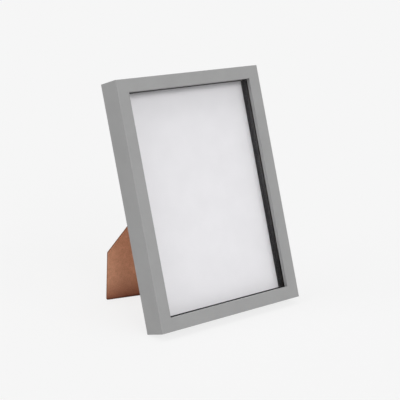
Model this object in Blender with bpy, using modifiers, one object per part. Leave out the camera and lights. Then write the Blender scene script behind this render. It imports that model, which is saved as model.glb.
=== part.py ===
"""Shadow box frame for an A4 sheet, standing on its diagonal easel strut.

Frame coordinates: X to the right, Y from the front face to the back, Z up along the frame, with the
origin at the centre of the front face. The stand empty leans them back, so that the frame's lower back
edge and the strut's foot meet the table. Lengths are in metres.
"""

import math

import bmesh
import bpy
from mathutils import Euler, Matrix, Vector

# Moulding
INSERT_WIDTH = 0.210
INSERT_HEIGHT = 0.297
INSERT_CLEARANCE = 0.0015
WALL = 0.0115
LIP_OVERLAP = 0.0058
LIP_DEPTH = 0.006
RAIL_DEPTH = 0.0336
FRONT_EDGE_RADIUS = 0.0006
BACK_EDGE_RADIUS = 0.0003
MITRE_GAP = 0.0001

# Contents, from the lip to the back
GLASS_THICKNESS = 0.002
GLASS_CLEARANCE = 0.0006
SPACER_DEPTH = 0.011
SPACER_WALL_GAP = 0.0003
INSERT_THICKNESS = 0.0014
BOARD_THICKNESS = 0.003
BOARD_CLEARANCE = 0.0008
SEAT_GAP = 0.00015

# Bendable steel points that hold the back board
POINT_WIDTH = 0.008
POINT_THICKNESS = 0.0005
POINT_REACH = 0.0085
POINT_CORNER_RADIUS = 0.0024
POINT_BEND_RADIUS = 0.0007
POINT_BEND_GAP = 0.0003
PRONG_LENGTH = 0.0055
PRONG_TAPER = 0.0025
SLIT_CLEARANCE = 0.00015
POINT_SPREAD_X = 0.035
POINT_SPREAD_Z = 0.060

# V-nails across the mitres
V_NAIL_LEG = 0.0052
V_NAIL_THICKNESS = 0.0005
V_NAIL_HEIGHT = 0.010
V_NAIL_CORNER_INSET = 0.0042
V_NAIL_SINK = 0.0002

# Easel strut
STRUT_THICKNESS = 0.0025
STRUT_OPEN_ANGLE = math.radians(27.0)
HINGE_INSET_SIDE = 0.0285
HINGE_INSET_TOP = 0.032
FOOT_INSET_SIDE = 0.0062
FOOT_INSET_BOTTOM = 0.0022
FOOT_SIDE_LENGTH = 0.070
FOOT_BASE_LENGTH = 0.052
NECK_WIDTH = 0.026
NECK_LENGTH = 0.045
FOOT_CORNER_RADIUS = 0.0015
SHOULDER_RADIUS = 0.004
NECK_RADIUS = 0.012
NECK_END_RADIUS = 0.002
STRUT_END_GAP = 0.0006

# Strut hinge
LEAF_WIDTH = 0.024
LEAF_THICKNESS = 0.0008
BOARD_LEAF_LENGTH = 0.016
STRUT_LEAF_LENGTH = 0.018
LEAF_CORNER_RADIUS = 0.002
PIN_RADIUS = 0.00125
PIN_CLEARANCE = 0.0001
PIN_HEAD_RADIUS = 0.0018
PIN_HEAD_HEIGHT = 0.0006
CENTRE_KNUCKLE_WIDTH = 0.0104
KNUCKLE_GAP = 0.0003
KNUCKLE_SINK = 0.00005
HEEL_STOP_GAP = 0.0001

# Rivets of the hinge
RIVET_SPREAD = 0.013
RIVET_END_DISTANCE = 0.0055
RIVET_SHANK_RADIUS = 0.0011
RIVET_HOLE_CLEARANCE = 0.0002
RIVET_HEAD_RADIUS = 0.0022
RIVET_HEAD_HEIGHT = 0.0008
RIVET_TAIL_RADIUS = 0.0018
RIVET_TAIL_HEIGHT = 0.0004
COUNTERBORE_DEPTH = 0.0008

# Sawtooth hangers and their nails
HANGER_LENGTH = 0.045
HANGER_WIDTH = 0.0075
HANGER_THICKNESS = 0.0008
HANGER_RISE = 0.0016
HANGER_PAD_LENGTH = 0.008
HANGER_RAMP_LENGTH = 0.002
TOOTH_COUNT = 7
TOOTH_PITCH = 0.003
TOOTH_HEIGHT = 0.0015
NAIL_SHANK_RADIUS = 0.0006
NAIL_SHANK_LENGTH = 0.009
NAIL_TIP_LENGTH = 0.0016
NAIL_HEAD_RADIUS = 0.0016
NAIL_HEAD_HEIGHT = 0.0005
NAIL_HOLE_CLEARANCE = 0.0002

# Smoothness of round shapes
ROUND_STEPS = 24
CORNER_STEPS = 4
SMOOTH_BELOW = math.radians(35)
WELD_DISTANCE = 0.000001
CUTTER_OVERRUN = 0.002

# Sizes that follow from those above
CAVITY_WIDTH = INSERT_WIDTH + 2 * INSERT_CLEARANCE
CAVITY_HEIGHT = INSERT_HEIGHT + 2 * INSERT_CLEARANCE
FRAME_WIDTH = CAVITY_WIDTH + 2 * WALL
FRAME_HEIGHT = CAVITY_HEIGHT + 2 * WALL
FACE_WIDTH = WALL + LIP_OVERLAP
GLASS_FRONT = LIP_DEPTH + SEAT_GAP
SPACER_FRONT = GLASS_FRONT + GLASS_THICKNESS + SEAT_GAP
INSERT_FRONT = SPACER_FRONT + SPACER_DEPTH + SEAT_GAP
BOARD_FRONT = INSERT_FRONT + INSERT_THICKNESS + SEAT_GAP
BOARD_BACK = BOARD_FRONT + BOARD_THICKNESS
POINT_MIDDLE = BOARD_BACK + SEAT_GAP + POINT_THICKNESS / 2
KNUCKLE_RADIUS = PIN_RADIUS + PIN_CLEARANCE + LEAF_THICKNESS
LEAF_FACE = KNUCKLE_RADIUS + KNUCKLE_SINK - LEAF_THICKNESS
LEAF_MIDDLE = LEAF_FACE + LEAF_THICKNESS / 2
PIN_DEPTH = BOARD_BACK + SEAT_GAP + LEAF_FACE + LEAF_THICKNESS
STRUT_BACK = LEAF_FACE - SEAT_GAP
STRUT_FRONT = STRUT_BACK - STRUT_THICKNESS
STRUT_END = KNUCKLE_RADIUS + STRUT_END_GAP
HEEL_LENGTH = (LEAF_FACE * (1 + math.cos(STRUT_OPEN_ANGLE)) - HEEL_STOP_GAP) / math.sin(STRUT_OPEN_ANGLE)

# The strut lies along the line from its foot to its pin, seen from the front
HINGE_POINT = Vector((CAVITY_WIDTH / 2 - HINGE_INSET_SIDE, PIN_DEPTH, CAVITY_HEIGHT / 2 - HINGE_INSET_TOP))
FOOT_POINT = Vector((FOOT_INSET_SIDE - CAVITY_WIDTH / 2, PIN_DEPTH, FOOT_INSET_BOTTOM - CAVITY_HEIGHT / 2))
STRUT_RUN = HINGE_POINT - FOOT_POINT
STRUT_LENGTH = STRUT_RUN.length
STRUT_TURN = math.atan2(STRUT_RUN.x, STRUT_RUN.z)

# Directions in the frame, as turns of an object that is modelled flat or upright
FACING_BACK = Euler((-math.pi / 2, 0, 0))
OPEN_TURN = Euler((STRUT_OPEN_ANGLE, STRUT_TURN, 0))


def clear_scene():
    for obj in list(bpy.data.objects):
        bpy.data.objects.remove(obj, do_unlink=True)


def new_collection(name):
    collection = bpy.data.collections.new(name)
    bpy.context.scene.collection.children.link(collection)
    return collection


def linear(channel):
    return channel / 12.92 if channel <= 0.04045 else ((channel + 0.055) / 1.055) ** 2.4


def material(name, colour, roughness, metallic=0.0, alpha=1.0):
    """A Principled material from an sRGB colour written as six hex digits."""
    made = bpy.data.materials.new(name)
    made.use_nodes = True
    shader = made.node_tree.nodes["Principled BSDF"]
    channels = [linear(int(colour[i : i + 2], 16) / 255) for i in (0, 2, 4)]
    shader.inputs["Base Color"].default_value = (*channels, 1.0)
    shader.inputs["Roughness"].default_value = roughness
    shader.inputs["Metallic"].default_value = metallic
    shader.inputs["Alpha"].default_value = alpha
    made.diffuse_color = (*channels, alpha)
    return made


def add(name, mesh, parent, location=(0, 0, 0), turn=(0, 0, 0), finish=None):
    """An object in its place. Without a finish it is there to be cut away or joined on, and isn't shown."""
    mesh.name = name
    obj = bpy.data.objects.new(name, mesh)
    obj.parent = parent
    obj.location = location
    obj.rotation_euler = turn
    if finish is None:
        CUTTERS.objects.link(obj)
        obj.hide_render = True
        obj.display_type = "WIRE"
    else:
        PARTS.objects.link(obj)
        obj.data.materials.append(finish)
    return obj


def empty(name, parent, location=(0, 0, 0), turn=(0, 0, 0)):
    obj = bpy.data.objects.new(name, None)
    obj.parent = parent
    obj.location = location
    obj.rotation_euler = turn
    obj.empty_display_size = 0.01
    PARTS.objects.link(obj)
    return obj


def finished(shape, smooth=False):
    """The mesh of a bmesh, with its faces pointing outwards and its round sides shaded smooth."""
    mesh = bpy.data.meshes.new("shape")
    bmesh.ops.recalc_face_normals(shape, faces=shape.faces)
    shape.to_mesh(mesh)
    shape.free()
    if smooth:
        mesh.shade_smooth()
        mesh.set_sharp_from_angle(angle=SMOOTH_BELOW)
    return mesh


def evaluated_mesh(drawn):
    """The welded bmesh of a curve or of an object with modifiers, which is then removed."""
    CUTTERS.objects.link(drawn)
    graph = bpy.context.evaluated_depsgraph_get()
    mesh = bpy.data.meshes.new_from_object(drawn.evaluated_get(graph))
    bpy.data.objects.remove(drawn)
    shape = bmesh.new()
    shape.from_mesh(mesh)
    bpy.data.meshes.remove(mesh)
    bmesh.ops.remove_doubles(shape, verts=shape.verts, dist=WELD_DISTANCE)
    return shape


def box_mesh(size):
    shape = bmesh.new()
    bmesh.ops.create_cube(shape, size=1, matrix=Matrix.Diagonal((*size, 1)))
    return finished(shape)


def rod_mesh(radius, length):
    """A cylinder along X."""
    shape = bmesh.new()
    bmesh.ops.create_cone(
        shape,
        cap_ends=True,
        segments=ROUND_STEPS,
        radius1=radius,
        radius2=radius,
        depth=length,
        matrix=Matrix.Rotation(math.pi / 2, 4, "Y"),
    )
    return finished(shape, smooth=True)


def rounded(corners):
    """The points of an outline whose corners, given as (x, y, radius), are turned into arcs."""
    points = []
    for i, (x, y, radius) in enumerate(corners):
        corner = Vector((x, y))
        before = (Vector(corners[i - 1][:2]) - corner).normalized()
        after = (Vector(corners[(i + 1) % len(corners)][:2]) - corner).normalized()
        if radius == 0:
            points.append(corner)
            continue
        half = before.angle(after) / 2
        middle = corner + (before + after).normalized() * (radius / math.sin(half))
        start = corner + before * (radius / math.tan(half)) - middle
        sweep = start.angle_signed(corner + after * (radius / math.tan(half)) - middle)
        for step in range(CORNER_STEPS + 1):
            turn = Matrix.Rotation(-sweep * step / CORNER_STEPS, 2)
            points.append(middle + turn @ start)
    return points


def circle(x, y, radius):
    turns = (2 * math.pi * i / ROUND_STEPS for i in range(ROUND_STEPS))
    return [Vector((x + radius * math.cos(turn), y + radius * math.sin(turn))) for turn in turns]


def plate_mesh(outlines, thickness):
    """A plate from closed outlines in its XY plane, of which those inside another are holes."""
    curve = bpy.data.curves.new("outline", "CURVE")
    curve.dimensions = "2D"
    curve.fill_mode = "BOTH"
    curve.extrude = thickness / 2
    for outline in outlines:
        spline = curve.splines.new("POLY")
        spline.points.add(len(outline) - 1)
        for point, place in zip(spline.points, outline):
            point.co = (*place, 0, 1)
        spline.use_cyclic_u = True
    return finished(evaluated_mesh(bpy.data.objects.new("outline", curve)), smooth=True)


def upright(mesh):
    """Stands a flat mesh up: its Y becomes the frame's Z."""
    mesh.transform(Matrix.Rotation(math.pi / 2, 4, "X"))
    return mesh


def turned_mesh(profile):
    """A round piece about its Z axis, from the (radius, height) points of its side, top to bottom."""
    line = bpy.data.meshes.new("profile")
    edges = [(i, i + 1) for i in range(len(profile) - 1)]
    line.from_pydata([(radius, 0, height) for radius, height in profile], edges, [])
    drawn = bpy.data.objects.new("profile", line)
    screw = drawn.modifiers.new("turning", "SCREW")
    screw.steps = ROUND_STEPS
    screw.render_steps = ROUND_STEPS
    screw.use_merge_vertices = True
    screw.merge_threshold = WELD_DISTANCE
    return finished(evaluated_mesh(drawn), smooth=True)


def dome(radius, height, base):
    """The profile of a low round head, from its top down to its rim at the base."""
    quarter = (math.pi / 2 * i / CORNER_STEPS for i in range(CORNER_STEPS + 1))
    return [(radius * math.sin(turn), base + height * math.cos(turn)) for turn in quarter]


def cut(obj, cutter):
    modifier = obj.modifiers.new("cut " + cutter.name, "BOOLEAN")
    modifier.operation = "DIFFERENCE"
    modifier.solver = "EXACT"
    modifier.object = cutter


def join(obj, other):
    modifier = obj.modifiers.new("join " + other.name, "BOOLEAN")
    modifier.operation = "UNION"
    modifier.solver = "EXACT"
    modifier.object = other


def rail_mesh(length):
    """A mitred length of moulding along X: its outer edge is at Z = 0, and Z runs towards the glass."""
    front = FRONT_EDGE_RADIUS
    back = BACK_EDGE_RADIUS
    section = rounded([
        (0, 0, front),
        (FACE_WIDTH, 0, front),
        (FACE_WIDTH, LIP_DEPTH, 0),
        (WALL, LIP_DEPTH, 0),
        (WALL, RAIL_DEPTH, back),
        (0, RAIL_DEPTH, back),
    ])
    mesh = plate_mesh([section], length + 2 * CUTTER_OVERRUN)
    mesh.transform(Matrix.Rotation(-math.pi / 2, 4, "Y"))
    shape = bmesh.new()
    shape.from_mesh(mesh)
    for side in (-1, 1):
        normal = Vector((side, 0, 1)).normalized()
        end = Vector((side * length / 2, 0, 0)) - normal * MITRE_GAP / 2
        sliced = bmesh.ops.bisect_plane(
            shape,
            geom=shape.verts[:] + shape.edges[:] + shape.faces[:],
            plane_co=end,
            plane_no=normal,
            clear_outer=True,
        )
        rim = [piece for piece in sliced["geom_cut"] if isinstance(piece, bmesh.types.BMEdge)]
        bmesh.ops.holes_fill(shape, edges=rim, sides=0)
    return finished(shape, smooth=True)


def make_rails():
    """The four mitred lengths of moulding, each keyed by the side of the frame that it makes."""
    half_width = FRAME_WIDTH / 2
    half_height = FRAME_HEIGHT / 2
    sides = {
        "bottom": ("bottom_rail", FRAME_WIDTH, (0, 0, -half_height), 0),
        "right": ("right_stile", FRAME_HEIGHT, (half_width, 0, 0), -math.pi / 2),
        "top": ("top_rail", FRAME_WIDTH, (0, 0, half_height), math.pi),
        "left": ("left_stile", FRAME_HEIGHT, (-half_width, 0, 0), math.pi / 2),
    }
    rails = {}
    for side, (name, length, location, turn) in sides.items():
        rails[side] = add(name, rail_mesh(length), STAND, location, (0, turn, 0), GREY_PAINT)
    return rails


def v_nail_outline(growth):
    leg = V_NAIL_LEG + growth
    inside = V_NAIL_THICKNESS + growth
    outside = -growth
    return [
        (outside, outside),
        (leg, outside),
        (leg, inside),
        (inside, inside),
        (inside, leg),
        (outside, leg),
    ]


def make_v_nails(rails):
    """One bent steel nail in each corner, driven in from the back with a leg in each length of moulding."""
    corners = {
        "lower_left": (-1, -1, 0, "bottom", "left"),
        "lower_right": (1, -1, -math.pi / 2, "bottom", "right"),
        "upper_right": (1, 1, math.pi, "top", "right"),
        "upper_left": (-1, 1, math.pi / 2, "top", "left"),
    }
    middle = RAIL_DEPTH - V_NAIL_SINK - V_NAIL_HEIGHT / 2
    slot_height = V_NAIL_HEIGHT + 2 * CUTTER_OVERRUN
    slot_middle = RAIL_DEPTH - V_NAIL_SINK - V_NAIL_HEIGHT - SEAT_GAP + slot_height / 2
    for corner, (side_x, side_z, turn, first, second) in corners.items():
        x = side_x * (FRAME_WIDTH / 2 - V_NAIL_CORNER_INSET)
        z = side_z * (FRAME_HEIGHT / 2 - V_NAIL_CORNER_INSET)
        name = "v_nail_" + corner
        nail_mesh = upright(plate_mesh([v_nail_outline(0)], V_NAIL_HEIGHT))
        add(name, nail_mesh, STAND, (x, middle, z), (0, turn, 0), STEEL)
        slot_mesh = upright(plate_mesh([v_nail_outline(SLIT_CLEARANCE)], slot_height))
        slot = add(name + "_slot", slot_mesh, STAND, (x, slot_middle, z), (0, turn, 0))
        cut(rails[first], slot)
        cut(rails[second], slot)


def make_panel(name, width, height, thickness, front, finish):
    place = (0, front + thickness / 2, 0)
    return add(name, box_mesh((width, thickness, height)), STAND, place, finish=finish)


def make_spacers():
    """Four strips between the glass and the insert, flush with the lip's inner edge."""
    thickness = LIP_OVERLAP - SPACER_WALL_GAP
    middle = SPACER_FRONT + SPACER_DEPTH / 2
    reach_x = CAVITY_WIDTH / 2 - SPACER_WALL_GAP
    reach_z = CAVITY_HEIGHT / 2 - SPACER_WALL_GAP
    upright_length = 2 * (reach_z - thickness - SEAT_GAP)
    for name, side in (("spacer_top", 1), ("spacer_bottom", -1)):
        strip = box_mesh((2 * reach_x, SPACER_DEPTH, thickness))
        add(name, strip, STAND, (0, middle, side * (reach_z - thickness / 2)), finish=BLACK_CARD)
    for name, side in (("spacer_left", -1), ("spacer_right", 1)):
        strip = box_mesh((thickness, SPACER_DEPTH, upright_length))
        add(name, strip, STAND, (side * (reach_x - thickness / 2), middle, 0), finish=BLACK_CARD)


def tongue_outline():
    half = POINT_WIDTH / 2
    reach = POINT_REACH - POINT_BEND_RADIUS
    radius = POINT_CORNER_RADIUS
    return rounded([(-half, 0, 0), (half, 0, 0), (half, reach, radius), (-half, reach, radius)])


def prong_outline(growth):
    half = POINT_WIDTH / 2 + growth
    tip = -PRONG_LENGTH - growth
    shoulder = tip + PRONG_TAPER
    root = POINT_BEND_GAP + (CUTTER_OVERRUN if growth else 0)
    return [
        (-half, root),
        (-half, shoulder),
        (-half / 2, tip),
        (half / 2, tip),
        (half, shoulder),
        (half, root),
    ]


def make_steel_points(rails):
    """Two bendable points a side. Each has a prong driven into the moulding and a tongue over the board."""
    half_width = CAVITY_WIDTH / 2
    half_height = CAVITY_HEIGHT / 2
    walls = {
        "bottom": (0, lambda along: (along, POINT_MIDDLE, -half_height), POINT_SPREAD_X),
        "right": (-math.pi / 2, lambda along: (half_width, POINT_MIDDLE, along), POINT_SPREAD_Z),
        "top": (math.pi, lambda along: (-along, POINT_MIDDLE, half_height), POINT_SPREAD_X),
        "left": (math.pi / 2, lambda along: (-half_width, POINT_MIDDLE, -along), POINT_SPREAD_Z),
    }
    slit_thickness = POINT_THICKNESS + 2 * SLIT_CLEARANCE
    for side, (turn, place, spread) in walls.items():
        for number, along in ((1, -spread), (2, spread)):
            name = f"steel_point_{side}_{number}"
            root = empty(name + "_root", STAND, place(along), (0, turn, 0))
            prong = upright(plate_mesh([prong_outline(0)], POINT_THICKNESS))
            add(name + "_prong", prong, root, finish=STEEL)
            slit = upright(plate_mesh([prong_outline(SLIT_CLEARANCE)], slit_thickness))
            cut(rails[side], add(name + "_slit", slit, root))
            bend = empty(name + "_bend", root, (0, 0, POINT_BEND_RADIUS))
            tongue = upright(plate_mesh([tongue_outline()], POINT_THICKNESS))
            add(name + "_tongue", tongue, bend, finish=STEEL)


def rivet_profile(grip):
    """A round-headed rivet whose head rests at height 0 and whose tail is clinched under the grip."""
    tail = -grip - SEAT_GAP
    return [
        *dome(RIVET_HEAD_RADIUS, RIVET_HEAD_HEIGHT, SEAT_GAP),
        (RIVET_SHANK_RADIUS, SEAT_GAP),
        (RIVET_SHANK_RADIUS, tail),
        (RIVET_TAIL_RADIUS, tail),
        (RIVET_TAIL_RADIUS, tail - RIVET_TAIL_HEIGHT),
        (0, tail - RIVET_TAIL_HEIGHT),
    ]


def make_leaf(name, outline, holes, depth, parent, knuckles):
    """A hinge leaf: a flat plate with its barrel on the pin and the pin's bore through it."""
    rivet_hole = RIVET_SHANK_RADIUS + RIVET_HOLE_CLEARANCE
    outlines = [outline] + [circle(x, z, rivet_hole) for x, z in holes]
    leaf = add(name, upright(plate_mesh(outlines, LEAF_THICKNESS)), parent, finish=STEEL)
    leaf.data.transform(Matrix.Translation((0, depth, 0)))
    for number, (x, width) in enumerate(knuckles, 1):
        join(leaf, add(f"{name}_knuckle_{number}", rod_mesh(KNUCKLE_RADIUS, width), parent, (x, 0, 0)))
    bore = rod_mesh(PIN_RADIUS + PIN_CLEARANCE, LEAF_WIDTH + 2 * CUTTER_OVERRUN)
    cut(leaf, add(name + "_bore", bore, parent))


def make_rivets(name, holes, depth, grip, parent):
    for number, (x, z) in enumerate(holes, 1):
        add(f"{name}_{number}", turned_mesh(rivet_profile(grip)), parent, (x, depth, z), FACING_BACK, STEEL)


def make_board_leaf(hinge, board):
    """The leaf on the board: it carries the outer knuckles, the pin and the stop's landing."""
    half = LEAF_WIDTH / 2
    notch = CENTRE_KNUCKLE_WIDTH / 2 + KNUCKLE_GAP
    notch_end = KNUCKLE_RADIUS + STRUT_END_GAP
    radius = LEAF_CORNER_RADIUS
    outline = rounded([
        (-half, 0, 0),
        (-notch, 0, 0),
        (-notch, notch_end, 0),
        (notch, notch_end, 0),
        (notch, 0, 0),
        (half, 0, 0),
        (half, BOARD_LEAF_LENGTH, radius),
        (-half, BOARD_LEAF_LENGTH, radius),
    ])
    row = BOARD_LEAF_LENGTH - RIVET_END_DISTANCE
    holes = [(-RIVET_SPREAD / 2, row), (RIVET_SPREAD / 2, row)]
    outer_width = half - notch
    outer_middle = (half + notch) / 2
    knuckles = [(-outer_middle, outer_width), (outer_middle, outer_width)]
    make_leaf("hinge_board_leaf", outline, holes, -LEAF_MIDDLE, hinge, knuckles)
    grip = LEAF_THICKNESS + SEAT_GAP + BOARD_THICKNESS - COUNTERBORE_DEPTH
    make_rivets("board_rivet", holes, -LEAF_FACE, grip, hinge)
    cut_board_holes(board, hinge, holes)


def cut_board_holes(board, hinge, holes):
    """Rivet holes through the board, with a wider seat for each tail in its front face."""
    through = RIVET_SHANK_RADIUS + RIVET_HOLE_CLEARANCE
    seat = RIVET_TAIL_RADIUS + RIVET_HOLE_CLEARANCE
    board_back = BOARD_BACK - PIN_DEPTH
    seat_floor = board_back - BOARD_THICKNESS + COUNTERBORE_DEPTH
    hole_profile = [
        (0, board_back + CUTTER_OVERRUN),
        (through, board_back + CUTTER_OVERRUN),
        (through, seat_floor),
        (seat, seat_floor),
        (seat, seat_floor - COUNTERBORE_DEPTH - CUTTER_OVERRUN),
        (0, seat_floor - COUNTERBORE_DEPTH - CUTTER_OVERRUN),
    ]
    for number, (x, z) in enumerate(holes, 1):
        drill = turned_mesh(hole_profile)
        cut(board, add(f"board_rivet_hole_{number}", drill, hinge, (x, 0, z), FACING_BACK))


def make_hinge_pin(hinge):
    half = LEAF_WIDTH / 2 + SEAT_GAP
    profile = [
        (0, half + PIN_HEAD_HEIGHT),
        (PIN_HEAD_RADIUS, half + PIN_HEAD_HEIGHT),
        (PIN_HEAD_RADIUS, half),
        (PIN_RADIUS, half),
        (PIN_RADIUS, -half),
        (PIN_HEAD_RADIUS, -half),
        (PIN_HEAD_RADIUS, -half - PIN_HEAD_HEIGHT),
        (0, -half - PIN_HEAD_HEIGHT),
    ]
    add("hinge_pin", turned_mesh(profile), hinge, turn=(0, math.pi / 2, 0), finish=STEEL)


def make_strut_leaf(swing):
    """The leaf on the strut: its middle tongue makes the centre knuckle and runs on as the stop's heel."""
    half = LEAF_WIDTH / 2
    tongue = CENTRE_KNUCKLE_WIDTH / 2
    near = -STRUT_END
    far = near - STRUT_LEAF_LENGTH
    radius = LEAF_CORNER_RADIUS
    outline = rounded([
        (-half, far, radius),
        (half, far, radius),
        (half, near, 0),
        (tongue, near, 0),
        (tongue, HEEL_LENGTH, 0),
        (-tongue, HEEL_LENGTH, 0),
        (-tongue, near, 0),
        (-half, near, 0),
    ])
    row = far + RIVET_END_DISTANCE
    holes = [(-RIVET_SPREAD / 2, row), (RIVET_SPREAD / 2, row)]
    make_leaf("hinge_strut_leaf", outline, holes, LEAF_MIDDLE, swing, [(0, CENTRE_KNUCKLE_WIDTH)])
    grip = LEAF_THICKNESS + SEAT_GAP + STRUT_THICKNESS
    make_rivets("strut_rivet", holes, LEAF_FACE + LEAF_THICKNESS, grip, swing)
    return holes


def open_strut_lean():
    """How far the frame leans back with its lower back edge and the open strut's foot on the table."""
    swing = Matrix.Translation(HINGE_POINT) @ OPEN_TURN.to_matrix().to_4x4()
    foot = swing @ Vector((0, STRUT_FRONT, -STRUT_LENGTH))
    return math.atan2(foot.z + FRAME_HEIGHT / 2, foot.y - RAIL_DEPTH)


def foot_base_slope():
    """The angle between the foot's base and the strut's cross line, with the base flat on the table."""
    lean = open_strut_lean()
    up = Vector((0, -math.sin(lean), math.cos(lean)))
    open_turn = OPEN_TURN.to_matrix()
    across = up.dot(open_turn @ Vector((1, 0, 0)))
    along = up.dot(open_turn @ Vector((0, 0, 1)))
    return math.atan2(-across, along)


def make_strut(swing, holes):
    """The hardboard strut: a square foot corner for portrait and landscape, and a neck at the pin."""
    slope = foot_base_slope()
    base = Vector((math.cos(slope), math.sin(slope))) * FOOT_BASE_LENGTH
    side = Vector((-math.sin(slope), math.cos(slope))) * FOOT_SIDE_LENGTH
    half = NECK_WIDTH / 2
    outline = rounded([
        (0, -STRUT_LENGTH, FOOT_CORNER_RADIUS),
        (base.x, base.y - STRUT_LENGTH, SHOULDER_RADIUS),
        (half, -NECK_LENGTH, NECK_RADIUS),
        (half, -STRUT_END, NECK_END_RADIUS),
        (-half, -STRUT_END, NECK_END_RADIUS),
        (-half, -NECK_LENGTH, NECK_RADIUS),
        (side.x, side.y - STRUT_LENGTH, SHOULDER_RADIUS),
    ])
    rivet_hole = RIVET_SHANK_RADIUS + RIVET_HOLE_CLEARANCE
    outlines = [outline] + [circle(x, z, rivet_hole) for x, z in holes]
    strut = add("easel_strut", upright(plate_mesh(outlines, STRUT_THICKNESS)), swing, finish=HARDBOARD)
    strut.data.transform(Matrix.Translation((0, (STRUT_FRONT + STRUT_BACK) / 2, 0)))


def hanger_section():
    """The side view of a sawtooth hanger: two flat pads and a raised bridge, as (along, out) points."""
    end = HANGER_LENGTH / 2
    pad = end - HANGER_PAD_LENGTH
    bridge = pad - HANGER_RAMP_LENGTH
    low = SEAT_GAP
    high = SEAT_GAP + HANGER_RISE
    thick = HANGER_THICKNESS
    return [
        (-end, low), (-pad, low), (-bridge, high), (bridge, high), (pad, low), (end, low),
        (end, low + thick), (pad, low + thick), (bridge, high + thick),
        (-bridge, high + thick), (-pad, low + thick), (-end, low + thick),
    ]


def tooth_outline():
    """A row of notches that open at the hanger's lower edge, as one saw-shaped outline."""
    half = TOOTH_COUNT * TOOTH_PITCH / 2
    edge = -HANGER_WIDTH / 2
    points = [(-half, edge - CUTTER_OVERRUN), (half, edge - CUTTER_OVERRUN), (half, edge)]
    for tooth in range(TOOTH_COUNT):
        right = half - tooth * TOOTH_PITCH
        points.append((right - TOOTH_PITCH / 2, edge + TOOTH_HEIGHT))
        points.append((right - TOOTH_PITCH, edge))
    return points


def nail_profile():
    return [
        *dome(NAIL_HEAD_RADIUS, NAIL_HEAD_HEIGHT, 0),
        (NAIL_SHANK_RADIUS, 0),
        (NAIL_SHANK_RADIUS, NAIL_TIP_LENGTH - NAIL_SHANK_LENGTH),
        (0, -NAIL_SHANK_LENGTH),
    ]


def make_hanger(name, rail, location, turn):
    """A sawtooth hanger nailed on the back of a rail, with its teeth towards the middle of the frame."""
    seat = empty(name + "_seat", STAND, location, (0, turn, 0))
    hole = NAIL_SHANK_RADIUS + NAIL_HOLE_CLEARANCE
    along = (HANGER_LENGTH - HANGER_PAD_LENGTH) / 2
    hanger = add(name, plate_mesh([hanger_section()], HANGER_WIDTH), seat, finish=BRASSED_STEEL)
    teeth_height = 2 * (HANGER_RISE + HANGER_THICKNESS + CUTTER_OVERRUN)
    cut(hanger, add(name + "_teeth", upright(plate_mesh([tooth_outline()], teeth_height)), seat))
    top = SEAT_GAP + HANGER_THICKNESS
    for number, x in ((1, -along), (2, along)):
        nail_name = f"{name}_nail_{number}"
        nail_place = (x, top + SEAT_GAP, 0)
        add(nail_name, turned_mesh(nail_profile()), seat, nail_place, FACING_BACK, BRASSED_STEEL)
        mouth = CUTTER_OVERRUN
        floor = -NAIL_SHANK_LENGTH - CUTTER_OVERRUN
        drill_mesh = turned_mesh([(0, mouth), (hole, mouth), (hole, floor), (0, floor)])
        drill = add(nail_name + "_hole", drill_mesh, seat, (x, top, 0), FACING_BACK)
        cut(hanger, drill)
        cut(rail, drill)


def world_corners():
    """The lowest and highest corner of all the pieces, as they stand."""
    bpy.context.view_layer.update()
    graph = bpy.context.evaluated_depsgraph_get()
    points = []
    for obj in PARTS.objects:
        if obj.type == "EMPTY":
            continue
        evaluated = obj.evaluated_get(graph)
        points += [evaluated.matrix_world @ vertex.co for vertex in evaluated.data.vertices]
    low = Vector(min(point[axis] for point in points) for axis in range(3))
    high = Vector(max(point[axis] for point in points) for axis in range(3))
    return low, high


def stand_on_table():
    """Leans the frame on its strut and puts the middle of its footprint's box at the origin."""
    STAND.rotation_euler = (-open_strut_lean(), 0, 0)
    low, high = world_corners()
    STAND.location -= Vector(((low.x + high.x) / 2, (low.y + high.y) / 2, low.z))
    bpy.context.view_layer.update()


def build():
    rails = make_rails()
    make_v_nails(rails)
    glass_width = CAVITY_WIDTH - 2 * GLASS_CLEARANCE
    glass_height = CAVITY_HEIGHT - 2 * GLASS_CLEARANCE
    make_panel("front_glass", glass_width, glass_height, GLASS_THICKNESS, GLASS_FRONT, GLASS)
    make_spacers()
    make_panel("insert_card", INSERT_WIDTH, INSERT_HEIGHT, INSERT_THICKNESS, INSERT_FRONT, WHITE_CARD)
    board_width = CAVITY_WIDTH - 2 * BOARD_CLEARANCE
    board_height = CAVITY_HEIGHT - 2 * BOARD_CLEARANCE
    board = make_panel("back_board", board_width, board_height, BOARD_THICKNESS, BOARD_FRONT, HARDBOARD)
    make_steel_points(rails)
    hinge = empty("strut_hinge_seat", STAND, HINGE_POINT, (0, STRUT_TURN, 0))
    make_board_leaf(hinge, board)
    make_hinge_pin(hinge)
    swing = empty("strut_swing", STAND, HINGE_POINT, OPEN_TURN)
    make_strut(swing, make_strut_leaf(swing))
    top_middle = (0, RAIL_DEPTH, (FRAME_HEIGHT - WALL) / 2)
    right_middle = ((FRAME_WIDTH - WALL) / 2, RAIL_DEPTH, 0)
    make_hanger("portrait_hanger", rails["top"], top_middle, 0)
    make_hanger("landscape_hanger", rails["right"], right_middle, math.pi / 2)
    stand_on_table()


clear_scene()
PARTS = new_collection("shadow_box_frame")
CUTTERS = new_collection("cutters")
GREY_PAINT = material("grey painted moulding", "9E9E9E", 0.45)
BLACK_CARD = material("black spacer card", "333234", 0.9)
WHITE_CARD = material("white insert card", "E8E7E9", 0.9)
HARDBOARD = material("brown hardboard", "A1735B", 0.8)
GLASS = material("clear glass", "F4F8F7", 0.02, alpha=0.15)
STEEL = material("zinc-plated steel", "B4B6B8", 0.35, metallic=1.0)
BRASSED_STEEL = material("brass-plated steel", "C3A767", 0.35, metallic=1.0)
STAND = empty("stand", None)
build()
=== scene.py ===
import math

import bmesh
import bpy
from mathutils import Euler, Matrix, Vector


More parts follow.
